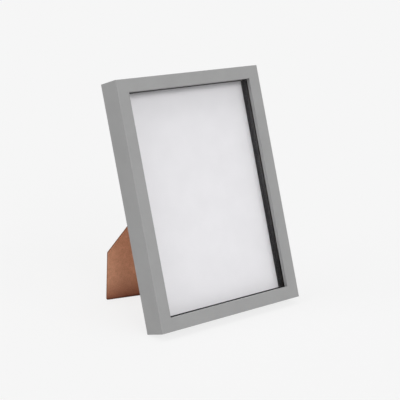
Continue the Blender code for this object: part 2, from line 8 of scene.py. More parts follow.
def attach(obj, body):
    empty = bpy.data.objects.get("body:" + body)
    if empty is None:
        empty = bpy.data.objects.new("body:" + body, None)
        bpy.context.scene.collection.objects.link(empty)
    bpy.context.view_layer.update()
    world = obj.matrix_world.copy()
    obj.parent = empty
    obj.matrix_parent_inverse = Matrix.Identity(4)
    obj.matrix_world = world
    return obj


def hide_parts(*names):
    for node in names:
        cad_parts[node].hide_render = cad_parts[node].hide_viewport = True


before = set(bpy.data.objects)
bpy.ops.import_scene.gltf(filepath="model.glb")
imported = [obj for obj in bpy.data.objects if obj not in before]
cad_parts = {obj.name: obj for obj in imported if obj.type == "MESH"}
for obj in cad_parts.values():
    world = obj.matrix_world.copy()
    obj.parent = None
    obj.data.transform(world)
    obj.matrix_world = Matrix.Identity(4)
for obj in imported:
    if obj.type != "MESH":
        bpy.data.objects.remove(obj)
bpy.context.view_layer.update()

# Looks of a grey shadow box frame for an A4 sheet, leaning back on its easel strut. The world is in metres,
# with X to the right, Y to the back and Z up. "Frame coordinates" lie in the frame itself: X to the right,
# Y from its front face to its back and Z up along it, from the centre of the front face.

MM = 0.001

# Where the frame stands, as in the CAD, and its main sizes
LEAN = math.radians(17.12688)
STAND_PLACE = Vector((0, -0.04136445, 0.16423310))
STAND = Matrix.Translation(STAND_PLACE) @ Matrix.Rotation(-LEAN, 4, "X")
FRAME_SIZE = Vector((236, 323)) * MM
CAVITY_SIZE = Vector((213, 300)) * MM
WALL = (FRAME_SIZE.x - CAVITY_SIZE.x) / 2
LIP_DEPTH = 6 * MM
RAIL_DEPTH = 33.6 * MM
MITRE_GAP = 0.1 * MM
GLUE_LINE = 0.02 * MM
SEAT_GAP = 0.15 * MM

# How mitres and die-cut edges are told by their slope, and the raw rebate by its place
MITRE_ABOVE = 0.5
CUT_BELOW = 0.9
WALL_MARGIN = 0.03 * MM
LIP_MARGIN = 0.05 * MM

# Finishes: overspray in the rebate, painted light and shade on the spacers, the pane's share of a mirror,
# painted shade at the strut's foot
OVERSPRAY_REACH = 2.6 * MM
OVERSPRAY_DRIFT = 2.4 * MM
# The spacers' painted light is strongest at the first depth, near the glass, and gone at the second
SPACER_PAINTED_LIGHT_DEPTH = 8 * MM
SPACER_PAINTED_SHADE_DEPTH = 17 * MM
PANE_MIRROR = 0.07
# Painted shade at the strut's foot reaches the first height, and its darker painted rim band the second
FOOT_SHADE_HEIGHT = 44 * MM
FOOT_RIM_SHADE_HEIGHT = 3.5 * MM

# The strut and its hinge. The pin's axis is the hinge's X axis, and the leaves lie along its Z axis.
HINGE_POINT = Vector((78, 26.35, 118)) * MM
STRUT_TURN = math.radians(33.85390)
STRUT_OPEN_ANGLE = math.radians(27)
HINGE = STAND @ Matrix.Translation(HINGE_POINT) @ Matrix.Rotation(STRUT_TURN, 4, "Y")
SWING = HINGE @ Matrix.Rotation(STRUT_OPEN_ANGLE, 4, "X")
LEAF_WIDTH = 24 * MM
LEAF_THICKNESS = 0.8 * MM
LEAF_FACE = 1.4 * MM
LEAF_CORNER = 2 * MM
BOARD_LEAF_LENGTH = 16 * MM
STRUT_LEAF_LENGTH = 18 * MM
STRUT_END = 2.75 * MM
HEEL_LENGTH = 5.6 * MM
CENTRE_KNUCKLE = 10.4 * MM
KNUCKLE_NOTCH = 5.5 * MM
KNUCKLE_RADIUS = 2.15 * MM
NOTCH_CORNER = 0.6 * MM
TONGUE_CORNER = 0.8 * MM
TONGUE_ROOT = 0.5 * MM
PIN_BORE = 1.35 * MM
CURL = math.radians(298)
CURL_STEP = math.radians(9)
RIVET_SPREAD = 13 * MM
RIVET_END = 5.5 * MM
RIVET_HOLE = 1.3 * MM
BOARD_RIVET_LENGTH = 3.3 * MM
STRUT_RIVET_LENGTH = 3.6 * MM

# Steel points, corner nails and hangers
POINT_WIDTH = 8 * MM
POINT_THICKNESS = 0.5 * MM
POINT_DEPTH = 24.4 * MM
POINT_ROOT = -5.5 * MM
POINT_BEND = 0.7 * MM
POINT_REACH = 8.5 * MM
POINT_CORNER = 2.4 * MM
POINT_ACROSS = 35 * MM
POINT_ALONG = 60 * MM
V_NAIL_INSET = 4.45 * MM
V_NAIL_LEG = 4.95 * MM
V_NAIL_HEIGHT = 10 * MM
V_NAIL_SINK = 0.2 * MM
V_NAIL_BEND = 0.6 * MM
V_NAIL_THICKNESS = 0.5 * MM
HANGER_LENGTH = 45 * MM
HANGER_WIDTH = 7.5 * MM
HANGER_THICKNESS = 0.8 * MM
HANGER_RISE = 1.6 * MM
HANGER_PAD = 8 * MM
HANGER_RAMP = 2 * MM
HANGER_INNER_BEND = 0.5 * MM
HANGER_OUTER_BEND = 1.2 * MM

# Heads, shanks and tails of what is riveted, driven or peened
RIVET = {
    "Head Radius": 2.2 * MM,
    "Head Height": 0.8 * MM,
    "Shank Radius": 1.1 * MM,
    "Tail Radius": 1.8 * MM,
    "Tail Length": 0.4 * MM,
    "Tip Radius": 1.6 * MM,
}
PIN = {
    "Head Radius": 1.8 * MM,
    "Head Height": 0.6 * MM,
    "Shank Radius": 1.25 * MM,
    "Tail Radius": 1.8 * MM,
    "Tail Length": 0.6 * MM,
    "Tip Radius": 1.3 * MM,
}
NAIL = {
    "Head Radius": 1.6 * MM,
    "Head Height": 0.5 * MM,
    "Shank Radius": 0.6 * MM,
    "Shank Length": 7.4 * MM,
    "Tail Radius": 0.6 * MM,
    "Tail Length": 1.6 * MM,
    "Tip Radius": 0.05 * MM,
}

# How much of a head's height its shank runs up into it
HEAD_OVERLAP = 0.4

# What is cut out of a hanger's strip: a row of teeth and two nail holes
TEETH = {
    "Tooth Count": 7,
    "Tooth Pitch": 3 * MM,
    "Tooth Height": 1.5 * MM,
    "Lower Edge": -HANGER_WIDTH / 2,
    "Hole Radius": 0.8 * MM,
    "Hole Spacing": HANGER_LENGTH - HANGER_PAD,
    "Cut Depth": 12 * MM,
}

# How far the sharp edges of each kind of piece are eased
RAIL_EASING = 0.2 * MM
PANE_EASING = 0.25 * MM
SPACER_EASING = 0.2 * MM
INSERT_EASING = 0.15 * MM
BOARD_EASING = 0.25 * MM
LEAF_EASING = 0.12 * MM
POINT_EASING = 0.2 * MM
V_NAIL_EASING = 0.08 * MM
HANGER_EASING = 0.1 * MM

# How many sides and steps make what is round, and which edges count as sharp
ROUND_SIDES = 32
BARREL_SIDES = 48
HOLE_SIDES = 24
BEND_STEPS = 6
SMOOTH_BELOW = math.radians(35)
SHARP_ABOVE = math.radians(40)
SHARP_ONCE_EASED = math.radians(50)
FLAT_WITHIN = math.radians(0.5)
WELD = 0.001 * MM


# Small helpers


def colour(code):
    """An sRGB colour of six hex digits as linear red, green, blue and alpha."""
    channels = [int(code[i : i + 2], 16) / 255 for i in (0, 2, 4)]
    return (*(c / 12.92 if c <= 0.04045 else ((c + 0.055) / 1.055) ** 2.4 for c in channels), 1)


def in_use(sockets, key):
    """The socket of that name or number among those that the node's settings leave in use."""
    used = [socket for socket in sockets if socket.enabled]
    return used[key] if isinstance(key, int) else next(socket for socket in used if socket.name == key)


def add_node(tree, kind, inputs=None, **settings):
    """Adds a node. Each input is set to a value, or linked to a socket or to a node's first output."""
    made = tree.nodes.new(kind)
    for name, value in settings.items():
        setattr(made, name, value)
    for key, value in (inputs or {}).items():
        socket = in_use(made.inputs, key)
        for source in value if isinstance(value, list) else [value]:
            if isinstance(source, bpy.types.Node):
                source = in_use(source.outputs, 0)
            if isinstance(source, bpy.types.NodeSocket):
                tree.links.new(source, socket)
            else:
                socket.default_value = source
    return made


def new_material(name):
    made = bpy.data.materials.new(name)
    made.use_nodes = True
    made.node_tree.nodes.clear()
    return made, made.node_tree


def in_frame(tree):
    """A point of the surface in frame coordinates."""
    point = add_node(tree, "ShaderNodeTexCoord").outputs["Object"]
    turned = {"Vector": point, "Location": STAND_PLACE, "Rotation": (-LEAN, 0, 0)}
    return add_node(tree, "ShaderNodeMapping", turned, vector_type="TEXTURE")


def finish_mesh(shape):
    """A mesh from a bmesh, with its faces outwards and its round sides smooth."""
    mesh = bpy.data.meshes.new("shape")
    bmesh.ops.recalc_face_normals(shape, faces=shape.faces)
    shape.to_mesh(mesh)
    shape.free()
    mesh.shade_smooth()
    mesh.set_sharp_from_angle(angle=SMOOTH_BELOW)
    return mesh


def welded(mesh):
    """A bmesh of a mesh, with its loose faces joined and its flat faces whole."""
    shape = bmesh.new()
    shape.from_mesh(mesh)
    bmesh.ops.remove_doubles(shape, verts=shape.verts, dist=WELD)
    bmesh.ops.dissolve_limit(shape, angle_limit=FLAT_WITHIN, verts=shape.verts, edges=shape.edges)
    return shape


def evaluated(drawn):
    """The plain mesh of an object with modifiers or of a curve. The object is removed."""
    bpy.context.scene.collection.objects.link(drawn)
    graph = bpy.context.evaluated_depsgraph_get()
    mesh = bpy.data.meshes.new_from_object(drawn.evaluated_get(graph))
    bpy.data.objects.remove(drawn)
    return mesh


def mark_faces(mesh, name, test):
    """Marks each face that passes a test with 1 in a named attribute, and the others with 0."""
    marks = mesh.attributes.new(name, "FLOAT", "FACE")
    marks.data.foreach_set("value", [float(test(face)) for face in mesh.polygons])


def ease(shape, radius, keep_sharp=None, steps=2):
    """Rounds the sharp edges of a bmesh and marks their new faces as worn_edge. Flat faces stay flat."""
    weights = shape.edges.layers.float.new("bevel_weight_edge")
    for edge in shape.edges:
        sharp = edge.is_manifold and edge.calc_face_angle() > SHARP_ABOVE
        edge[weights] = float(sharp and not (keep_sharp and keep_sharp(edge)))
    for face in shape.faces:
        face.material_index = 0
    mesh = finish_mesh(shape)
    mesh.materials.clear()
    mesh.materials.append(None)
    mesh.materials.append(None)
    drawn = bpy.data.objects.new("eased", mesh)
    bevel = drawn.modifiers.new("eased edges", "BEVEL")
    bevel.width = radius
    bevel.segments = steps
    bevel.limit_method = "WEIGHT"
    bevel.material = 1
    mesh = evaluated(drawn)
    mark_faces(mesh, "worn_edge", lambda face: face.material_index == 1)
    mesh.polygons.foreach_set("material_index", [0] * len(mesh.polygons))
    mesh.set_sharp_from_angle(angle=SHARP_ONCE_EASED)
    drawn = bpy.data.objects.new("flattened", mesh)
    drawn.modifiers.new("flat faces", "WEIGHTED_NORMAL").keep_sharp = True
    return evaluated(drawn)


def add_piece(name, mesh, body, slot, material, *nodes):
    """Shows a mesh, already in its place, instead of the CAD nodes that it stands for."""
    mesh.name = name
    mesh.materials.clear()
    mesh.materials.append(material)
    piece = bpy.data.objects.new(name, mesh)
    bpy.context.scene.collection.objects.link(piece)
    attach(piece, body)
    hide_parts(*nodes)


def placed(mesh, matrix):
    mesh.transform(matrix)
    return mesh


# Materials


def satin_lacquer_on_mdf():
    """Moulding of medium-density fibreboard, sprayed mid-grey.

    The satin lacquer is even, with a soft broad sheen and the faint ripple of a sprayed coat, and a little
    thinner and smoother on its edges. The rebate behind the glass is left raw: pale brown, dull and
    fibrous, with overspray at its rim.
    """
    made, tree = new_material("satin_lacquer_on_mdf")
    point = in_frame(tree)
    cloud = add_node(tree, "ShaderNodeTexNoise", {"Vector": point, "Scale": 1 / (40 * MM), "Detail": 3})
    cloud = add_node(tree, "ShaderNodeMapRange", {"Value": cloud, "From Min": 0.35, "From Max": 0.65})
    sprayed = {"Factor": cloud, "A": colour("939393"), "B": colour("979797")}
    sprayed = add_node(tree, "ShaderNodeMix", sprayed, data_type="RGBA")
    worn = add_node(tree, "ShaderNodeAttribute", attribute_name="worn_edge").outputs["Fac"]
    lacquer = {"Factor": worn, "A": sprayed, "B": colour("9C9C9B")}
    lacquer = add_node(tree, "ShaderNodeMix", lacquer, data_type="RGBA")
    fibre = {"Vector": point, "Scale": 1 / (0.5 * MM), "Detail": 6, "Roughness": 0.7}
    fibre = add_node(tree, "ShaderNodeTexNoise", fibre)
    board = {"Factor": fibre, "A": colour("8E7454"), "B": colour("C2A67E")}
    board = add_node(tree, "ShaderNodeMix", board, data_type="RGBA")
    rebate = add_node(tree, "ShaderNodeAttribute", attribute_name="raw_rebate").outputs["Fac"]
    depth = add_node(tree, "ShaderNodeSeparateXYZ", {0: point}).outputs["Y"]
    mist = add_node(tree, "ShaderNodeTexNoise", {"Vector": point, "Scale": 1 / (1.5 * MM), "Detail": 4})
    mist = {0: mist, 1: OVERSPRAY_DRIFT, 2: RAIL_DEPTH - OVERSPRAY_REACH}
    mist = add_node(tree, "ShaderNodeMath", mist, operation="MULTIPLY_ADD")
    unsprayed = add_node(tree, "ShaderNodeMath", {0: depth, 1: mist}, operation="LESS_THAN")
    bare = add_node(tree, "ShaderNodeMath", {0: rebate, 1: unsprayed}, operation="MULTIPLY")
    ripple = add_node(tree, "ShaderNodeTexNoise", {"Vector": point, "Scale": 1 / (1.1 * MM), "Detail": 1})
    skin = {"Height": ripple, "Distance": 0.012 * MM, "Strength": 0.6}
    skin = add_node(tree, "ShaderNodeBump", skin)
    tooth = add_node(tree, "ShaderNodeMath", {0: fibre, 1: bare}, operation="MULTIPLY")
    skin = {"Height": tooth, "Distance": 0.08 * MM, "Strength": 0.8, "Normal": skin}
    skin = add_node(tree, "ShaderNodeBump", skin)
    base = {"Factor": bare, "A": lacquer, "B": board}
    base = add_node(tree, "ShaderNodeMix", base, data_type="RGBA")
    dull = add_node(tree, "ShaderNodeMapRange", {"Value": worn, "To Min": 0.46, "To Max": 0.38})
    dull = add_node(tree, "ShaderNodeMix", {"Factor": bare, "A": dull, "B": 0.9})
    surface = {"Base Color": base, "Roughness": dull, "IOR": 1.45, "Normal": skin}
    surface = add_node(tree, "ShaderNodeBsdfPrincipled", surface)
    add_node(tree, "ShaderNodeOutputMaterial", {"Surface": surface})
    return made


def black_spacer_card():
    """Strips of black-dyed card: dead matt, with a faint paper grain.

    They carry painted light, greyer towards the glass where light falls in, and painted shade, blackest
    towards the foot of the frame.
    """
    made, tree = new_material("black_spacer_card")
    point = in_frame(tree)
    grain = {"Vector": point, "Scale": 1 / (0.35 * MM), "Detail": 5, "Roughness": 0.7}
    grain = add_node(tree, "ShaderNodeTexNoise", grain)
    speck = add_node(tree, "ShaderNodeMapRange", {"Value": grain, "From Min": 0.3, "From Max": 0.7})
    place = add_node(tree, "ShaderNodeSeparateXYZ", {0: point}).outputs
    # painted light: both grain tones grey from the deep end towards the glass, where light falls in
    painted_light_near_glass = {"Value": place["Y"], "From Min": SPACER_PAINTED_SHADE_DEPTH, "From Max": SPACER_PAINTED_LIGHT_DEPTH}
    painted_light_near_glass = add_node(tree, "ShaderNodeMapRange", painted_light_near_glass)
    dyed = {"Factor": painted_light_near_glass, "A": colour("161517"), "B": colour("3E3D3F")}
    dyed = add_node(tree, "ShaderNodeMix", dyed, data_type="RGBA")
    painted_shading = {"Factor": painted_light_near_glass, "A": colour("1F1E20"), "B": colour("4A494B")}
    painted_shading = add_node(tree, "ShaderNodeMix", painted_shading, data_type="RGBA")
    base = add_node(tree, "ShaderNodeMix", {"Factor": speck, "A": dyed, "B": painted_shading}, data_type="RGBA")
    # painted shade: the strips darken towards the foot of the frame
    painted_shade_to_foot = {"Value": place["Z"], "From Min": -CAVITY_SIZE.y / 2, "From Max": 0}
    painted_shade_to_foot = add_node(tree, "ShaderNodeMapRange", painted_shade_to_foot)
    base = {"Factor": painted_shade_to_foot, "A": colour("0B0B0C"), "B": base}
    base = add_node(tree, "ShaderNodeMix", base, data_type="RGBA")
    skin = add_node(tree, "ShaderNodeBump", {"Height": grain, "Distance": 0.03 * MM, "Strength": 0.6})
    surface = {"Base Color": base, "Roughness": 0.9, "Specular IOR Level": 0.15, "Normal": skin}
    surface = add_node(tree, "ShaderNodeBsdfPrincipled", surface)
    add_node(tree, "ShaderNodeOutputMaterial", {"Surface": surface})
    return made


def white_insert_card():
    """Uncoated off-white card: dull, even, with a soft fibre tooth that shows only close up."""
    made, tree = new_material("white_insert_card")
    point = in_frame(tree)
    tooth = {"Vector": point, "Scale": 1 / (0.6 * MM), "Detail": 5, "Roughness": 0.6}
    tooth = add_node(tree, "ShaderNodeTexNoise", tooth)
    cloud = add_node(tree, "ShaderNodeTexNoise", {"Vector": point, "Scale": 1 / (30 * MM)})
    cloud = add_node(tree, "ShaderNodeMapRange", {"Value": cloud, "From Min": 0.3, "From Max": 0.7})
    sheet = {"Factor": cloud, "A": colour("E4E3E6"), "B": colour("E7E6E9")}
    sheet = add_node(tree, "ShaderNodeMix", sheet, data_type="RGBA")
    hollow = {"Value": tooth, "From Min": 0.4, "From Max": 0.8, "To Max": 0.12}
    hollow = add_node(tree, "ShaderNodeMapRange", hollow)
    base = {"Factor": hollow, "A": sheet, "B": colour("D8D8DA")}
    base = add_node(tree, "ShaderNodeMix", base, data_type="RGBA")
    skin = add_node(tree, "ShaderNodeBump", {"Height": tooth, "Distance": 0.02 * MM, "Strength": 0.4})
    surface = {"Base Color": base, "Roughness": 0.9, "Specular IOR Level": 0.3, "Normal": skin}
    surface = add_node(tree, "ShaderNodeBsdfPrincipled", surface)
    add_node(tree, "ShaderNodeOutputMaterial", {"Surface": surface})
    return made


def float_glass():
    """Clear float glass. Seen from the front it shows no veil in the box, so its mirror is kept weak."""
    made, tree = new_material("float_glass")
    clear = add_node(tree, "ShaderNodeBsdfTransparent", {"Color": colour("FFFFFF")})
    mirror = add_node(tree, "ShaderNodeBsdfGlossy", {"Color": colour("FFFFFF"), "Roughness": 0.02})
    share = add_node(tree, "ShaderNodeFresnel", {"IOR": 1.5})
    share = add_node(tree, "ShaderNodeMath", {0: share, 1: PANE_MIRROR}, operation="MULTIPLY")
    pane = add_node(tree, "ShaderNodeMixShader", {0: share, 1: clear, 2: mirror})
    add_node(tree, "ShaderNodeOutputMaterial", {"Surface": pane})
    return made


def pressed_hardboard():
    """Hardboard: wood fibre pressed hot to a smooth brown skin, with mottled fibre bundles.

    Its die-cut edges, marked by the cut_edge attribute, are rougher and darker than its faces. The strut's
    foot carries painted shade where it stands on the floor: darker in patches towards the floor, with a
    darker painted band along its rim. The fibre bundles are drawn coarser than life, so that they show.
    """
    made, tree = new_material("pressed_hardboard")
    point = in_frame(tree)
    strand = {"Vector": point, "Scale": 1 / (1.6 * MM), "Detail": 6, "Roughness": 0.7, "Distortion": 2.0}
    strand = add_node(tree, "ShaderNodeTexNoise", strand)
    blotch = {"Vector": point, "Scale": 1 / (7 * MM), "Detail": 4, "Roughness": 0.6}
    blotch = add_node(tree, "ShaderNodeTexNoise", blotch)
    mottle = add_node(tree, "ShaderNodeMix", {"Factor": 0.25, "A": strand, "B": blotch})
    mottle = add_node(tree, "ShaderNodeMapRange", {"Value": mottle, "From Min": 0.38, "From Max": 0.62})
    face = {"Factor": mottle, "A": colour("CB9373"), "B": colour("F1B795")}
    face = add_node(tree, "ShaderNodeMix", face, data_type="RGBA")
    fleck = {"Vector": point, "Scale": 1 / (0.8 * MM), "Detail": 3, "Distortion": 1.2}
    fleck = add_node(tree, "ShaderNodeTexNoise", fleck)
    fleck = {"Value": fleck, "From Min": 0.62, "From Max": 0.7, "To Max": 0.55}
    fleck = add_node(tree, "ShaderNodeMapRange", fleck)
    face = {"Factor": fleck, "A": face, "B": colour("6B442F")}
    face = add_node(tree, "ShaderNodeMix", face, data_type="RGBA")
    height = add_node(tree, "ShaderNodeTexCoord").outputs["Object"]
    height = add_node(tree, "ShaderNodeSeparateXYZ", {0: height}).outputs["Z"]
    # painted shade: the strut darkens in patches towards the floor, where it stands on it
    painted_shading = add_node(tree, "ShaderNodeMapRange", {"Value": height, "From Min": FOOT_SHADE_HEIGHT, "From Max": 0})
    painted_shading = add_node(tree, "ShaderNodeMath", {0: painted_shading, 1: 2.0}, operation="POWER")
    patchy = {"Value": blotch, "From Min": 0.35, "From Max": 0.65, "To Min": 0.75, "To Max": 0.95}
    patchy = add_node(tree, "ShaderNodeMapRange", patchy)
    painted_shading = add_node(tree, "ShaderNodeMath", {0: painted_shading, 1: patchy}, operation="MULTIPLY")
    depth = add_node(tree, "ShaderNodeSeparateXYZ", {0: point}).outputs["Y"]
    on_strut = add_node(tree, "ShaderNodeMath", {0: depth, 1: RAIL_DEPTH}, operation="GREATER_THAN")
    painted_shading = add_node(tree, "ShaderNodeMath", {0: painted_shading, 1: on_strut}, operation="MULTIPLY")
    face = {"Factor": painted_shading, "A": face, "B": colour("762C0E")}
    face = add_node(tree, "ShaderNodeMix", face, data_type="RGBA")
    # painted shade: a darker band along the lowest rim, where the strut meets the floor
    painted_rim_shade = {"Value": height, "From Min": FOOT_RIM_SHADE_HEIGHT, "From Max": 0, "To Max": 0.75}
    painted_rim_shade = add_node(tree, "ShaderNodeMapRange", painted_rim_shade)
    face = {"Factor": painted_rim_shade, "A": face, "B": colour("2E1206")}
    face = add_node(tree, "ShaderNodeMix", face, data_type="RGBA")
    edge = add_node(tree, "ShaderNodeAttribute", attribute_name="cut_edge").outputs["Fac"]
    fuzz = {"Factor": strand, "A": colour("58331F"), "B": colour("8A5A3F")}
    fuzz = add_node(tree, "ShaderNodeMix", fuzz, data_type="RGBA")
    base = add_node(tree, "ShaderNodeMix", {"Factor": edge, "A": face, "B": fuzz}, data_type="RGBA")
    dull = add_node(tree, "ShaderNodeMapRange", {"Value": edge, "To Min": 0.62, "To Max": 0.92})
    skin = add_node(tree, "ShaderNodeBump", {"Height": strand, "Distance": 0.05 * MM, "Strength": 0.5})
    surface = {"Base Color": base, "Roughness": dull, "Specular IOR Level": 0.3, "Normal": skin}
    surface = add_node(tree, "ShaderNodeBsdfPrincipled", surface)
    add_node(tree, "ShaderNodeOutputMaterial", {"Surface": surface})
    return made


def plated_steel(name, dull, bright, stain, edge):
    """Stamped steel under a thin plating, tumbled after it was stamped.

    That leaves soft clouds of brighter and duller metal with small stains and pits, and polished edges.
    """
    made, tree = new_material(name)
    point = in_frame(tree)
    cloud = {"Vector": point, "Scale": 1 / (2.2 * MM), "Detail": 4, "Roughness": 0.6}
    cloud = add_node(tree, "ShaderNodeTexNoise", cloud)
    cloud = add_node(tree, "ShaderNodeMapRange", {"Value": cloud, "From Min": 0.32, "From Max": 0.68})
    plating = {"Factor": cloud, "A": colour(dull), "B": colour(bright)}
    plating = add_node(tree, "ShaderNodeMix", plating, data_type="RGBA")
    pit = {"Vector": point, "Scale": 1 / (0.4 * MM), "Detail": 3, "Roughness": 0.6}
    pit = add_node(tree, "ShaderNodeTexNoise", pit)
    spot = {"Value": pit, "From Min": 0.6, "From Max": 0.72, "To Max": 0.6}
    spot = add_node(tree, "ShaderNodeMapRange", spot)
    stained = {"Factor": spot, "A": plating, "B": colour(stain)}
    stained = add_node(tree, "ShaderNodeMix", stained, data_type="RGBA")
    worn = add_node(tree, "ShaderNodeAttribute", attribute_name="worn_edge").outputs["Fac"]
    base = {"Factor": worn, "A": stained, "B": colour(edge)}
    base = add_node(tree, "ShaderNodeMix", base, data_type="RGBA")
    rough = add_node(tree, "ShaderNodeMapRange", {"Value": cloud, "To Min": 0.46, "To Max": 0.3})
    skin = add_node(tree, "ShaderNodeBump", {"Height": pit, "Distance": 0.015 * MM, "Strength": 0.6})
    surface = {"Base Color": base, "Metallic": 1.0, "Roughness": rough, "Normal": skin}
    surface = add_node(tree, "ShaderNodeBsdfPrincipled", surface)
    add_node(tree, "ShaderNodeOutputMaterial", {"Surface": surface})
    return made


LACQUER = satin_lacquer_on_mdf()
SPACER_CARD = black_spacer_card()
INSERT_CARD = white_insert_card()
PANE = float_glass()
HARDBOARD = pressed_hardboard()
ZINC = plated_steel("zinc_plated_steel", "A2A7AB", "C0C4C7", "868B8F", "D2D5D7")
BRASS = plated_steel("brass_plated_steel", "A8833D", "CBA75C", "7F602E", "D9C080")


# Rails, glass, spacers, insert, back board and strut


def make_rails():
    """The four lengths of moulding, their long edges eased as sprayed board is.

    The mitres stay crisp. They are glued up tight, and the lacquer runs over the line.
    """
    to_frame = STAND.inverted()

    def close_mitres(rail, axis):
        for point in rail.verts:
            place = to_frame @ point.co
            from_side = FRAME_SIZE.x / 2 - abs(place.x)
            from_end = FRAME_SIZE.y / 2 - abs(place.z)
            if abs(from_side - from_end) < MITRE_GAP:
                place[axis] += math.copysign((MITRE_GAP - GLUE_LINE) / math.sqrt(2), place[axis])
                point.co = STAND @ place
        return rail

    def on_mitre(edge):
        normals = [to_frame.to_3x3() @ face.normal for face in edge.link_faces]
        return any(min(abs(normal.x), abs(normal.z)) > MITRE_ABOVE for normal in normals)

    def in_rebate(face):
        middle = to_frame @ face.center
        beside = abs(middle.x) < CAVITY_SIZE.x / 2 + WALL_MARGIN
        level = abs(middle.z) < CAVITY_SIZE.y / 2 + WALL_MARGIN
        return beside and level and middle.y > LIP_DEPTH - LIP_MARGIN

    for name, axis in (("bottom_rail", 0), ("right_stile", 2), ("top_rail", 0), ("left_stile", 2)):
        rail = close_mitres(welded(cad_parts[name].data), axis)
        rail = ease(rail, RAIL_EASING, on_mitre)
        mark_faces(rail, "raw_rebate", in_rebate)
        add_piece("lacquered_" + name, rail, "frame", "grey_moulding", LACQUER, name)


def make_sheets():
    """Glass, spacers, insert and the two hardboard pieces, each with its edges eased."""
    pane = ease(welded(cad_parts["front_glass"].data), PANE_EASING)
    add_piece("glass_pane", pane, "frame", "glass", PANE, "front_glass")
    for side in ("top", "bottom", "left", "right"):
        strip = ease(welded(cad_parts["spacer_" + side].data), SPACER_EASING)
        add_piece("spacer_strip_" + side, strip, "frame", "black_card", SPACER_CARD, "spacer_" + side)
    card = ease(welded(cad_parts["insert_card"].data), INSERT_EASING)
    add_piece("insert_sheet", card, "frame", "white_card", INSERT_CARD, "insert_card")
    for name, node, body, place in (
        ("hardboard_back", "back_board", "frame", STAND),
        ("hardboard_strut", "easel_strut", "strut", SWING),
    ):
        board = ease(welded(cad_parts[node].data), BOARD_EASING)
        through = place.to_3x3() @ Vector((0, 1, 0))
        mark_faces(board, "cut_edge", lambda face: abs(face.normal.dot(through)) < CUT_BELOW)
        add_piece(name, board, body, "hardboard", HARDBOARD, node)


# Steel and brass fittings


def new_tree(name, counts=(), sizes=()):
    """A Geometry Nodes tree with named inputs for its counts, sizes and finish."""
    tree = bpy.data.node_groups.new(name, "GeometryNodeTree")
    inputs = [("Seed", "Geometry")]
    inputs += [(count, "Int") for count in counts]
    inputs += [(size, "Float") for size in sizes]
    inputs.append(("Finish", "Material"))
    for socket, kind in inputs:
        tree.interface.new_socket(socket, in_out="INPUT", socket_type="NodeSocket" + kind)
    tree.interface.new_socket("Made", in_out="OUTPUT", socket_type="NodeSocketGeometry")
    return tree, add_node(tree, "NodeGroupInput").outputs


def end_tree(tree, geometry, finish):
    whole = add_node(tree, "GeometryNodeRealizeInstances", {0: geometry})
    whole = add_node(tree, "GeometryNodeSetMaterial", {"Geometry": whole, "Material": finish})
    add_node(tree, "NodeGroupOutput", {0: whole})
    return tree


def grow(tree, seed, finish, sizes, easing=0.0):
    """The mesh that a tree makes from its seed, with its edges eased."""
    drawn = bpy.data.objects.new(tree.name, seed)
    modifier = drawn.modifiers.new(tree.name, "NODES")
    modifier.node_group = tree
    for socket in tree.interface.items_tree:
        if socket.name in sizes:
            modifier[socket.identifier] = sizes[socket.name]
        elif socket.name == "Finish":
            modifier[socket.identifier] = finish
    shape = welded(evaluated(drawn))
    return ease(shape, easing) if easing else finish_mesh(shape)


def points_mesh(places, turns=()):
    """A seed of loose points, each with a turn about Y for what grows on it."""
    seed = bpy.data.meshes.new("seed")
    seed.from_pydata(places, [], [])
    marks = seed.attributes.new("turn", "FLOAT", "POINT")
    marks.data.foreach_set("value", turns or [0.0] * len(places))
    return seed


